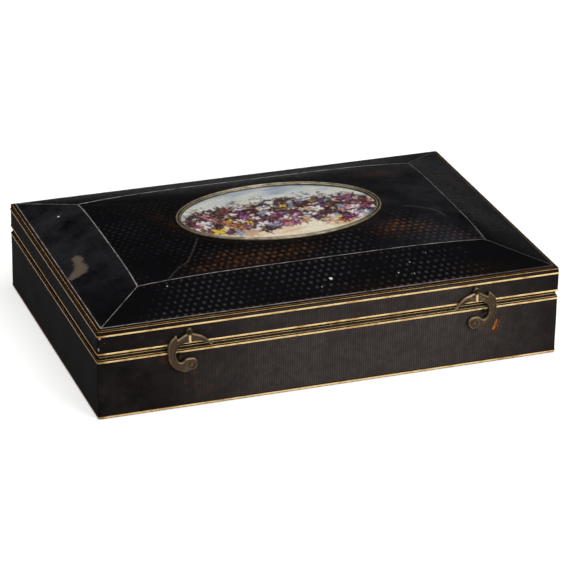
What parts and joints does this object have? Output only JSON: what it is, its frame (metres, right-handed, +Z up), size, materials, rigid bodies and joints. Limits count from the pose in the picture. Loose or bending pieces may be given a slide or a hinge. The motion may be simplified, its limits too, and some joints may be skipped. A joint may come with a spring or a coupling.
{
  "type": "leather-covered casket",
  "caption": "Low rectangular keepsake casket with a hipped, domed lid, an oval enamel plaque and two swinging front hooks.",
  "frame": {"origin": "centre of the underside, on the surface the casket stands on", "axes": "+X to the right along the front, +Y to the back where the hinges are, +Z up"},
  "size_m": [0.28, 0.1944, 0.0724],
  "materials": {
    "wall_leather": "dark charcoal-brown leather with fine upright ribs and gilt fillet lines",
    "panel_leather": "near-black leather with a blind-tooled diced grain, rubbed brown in places",
    "carcase_wood": "planed softwood",
    "cover_paper": "brown cover paper",
    "silk_lining": "faded crimson silk",
    "cast_bronze": "dark patinated cast bronze",
    "gilt_brass": "worn gilding over brass",
    "hinge_brass": "tarnished brass",
    "enamel": "glossy painted enamel",
    "backing_card": "pressed card"
  },
  "bodies": {
    "base": {"base_cover_sheet": "cover_paper", "base_floor_board": "carcase_wood", "base_leather": "wall_leather", "base_board_front": "carcase_wood", "base_board_back": "carcase_wood", "base_board_left": "carcase_wood", "base_board_right": "carcase_wood", "base_lining_front": "silk_lining", "base_lining_back": "silk_lining", "base_lining_left": "silk_lining", "base_lining_right": "silk_lining", "base_floor_pad": "silk_lining", "hinge_base_leaf_left": "hinge_brass", "hinge_base_leaf_right": "hinge_brass", "hinge_pin_left": "hinge_brass", "hinge_pin_right": "hinge_brass", "hinge_base_screw_left_1": "hinge_brass", "hinge_base_screw_left_2": "hinge_brass", "hinge_base_screw_right_1": "hinge_brass", "hinge_base_screw_right_2": "hinge_brass", "keeper_stud_left": "cast_bronze", "keeper_stud_right": "cast_bronze"},
    "lid": {"lid_rail_front": "carcase_wood", "lid_rail_back": "carcase_wood", "lid_rail_left": "carcase_wood", "lid_rail_right": "carcase_wood", "lid_slope_board_front": "carcase_wood", "lid_slope_board_back": "carcase_wood", "lid_slope_board_left": "carcase_wood", "lid_slope_board_right": "carcase_wood", "lid_top_board": "carcase_wood", "lid_leather_rim": "wall_leather", "lid_leather_front": "panel_leather", "lid_leather_back": "panel_leather", "lid_leather_left": "panel_leather", "lid_leather_right": "panel_leather", "lid_leather_top": "panel_leather", "lid_lining_front": "silk_lining", "lid_lining_back": "silk_lining", "lid_lining_left": "silk_lining", "lid_lining_right": "silk_lining", "lid_lining_pad": "silk_lining", "plaque_bezel": "gilt_brass", "enamel_plaque": "enamel", "plaque_backing": "backing_card", "hinge_lid_leaf_left": "hinge_brass", "hinge_lid_leaf_right": "hinge_brass", "hinge_lid_screw_left_1": "hinge_brass", "hinge_lid_screw_left_2": "hinge_brass", "hinge_lid_screw_right_1": "hinge_brass", "hinge_lid_screw_right_2": "hinge_brass", "hook_rivet_left": "cast_bronze", "hook_rivet_right": "cast_bronze", "hook_washer_left": "cast_bronze", "hook_washer_right": "cast_bronze"},
    "left_hook": {"hook_left": "cast_bronze"},
    "right_hook": {"hook_right": "cast_bronze"}
  },
  "joints": [
    {"name": "lid_hinge", "type": "hinge", "parent": "base", "child": "lid", "pos_m": [0, 0.0933, 0.03885], "axis": [-1, 0, 0], "range_deg": [0, 95]},
    {"name": "left_hook_swing", "type": "hinge", "parent": "lid", "child": "left_hook", "pos_m": [-0.087, -0.0972, 0.0486], "axis": [0, 1, 0], "range_deg": [0, 65]},
    {"name": "right_hook_swing", "type": "hinge", "parent": "lid", "child": "right_hook", "pos_m": [0.087, -0.0972, 0.0486], "axis": [0, -1, 0], "range_deg": [0, 65]}
  ]
}
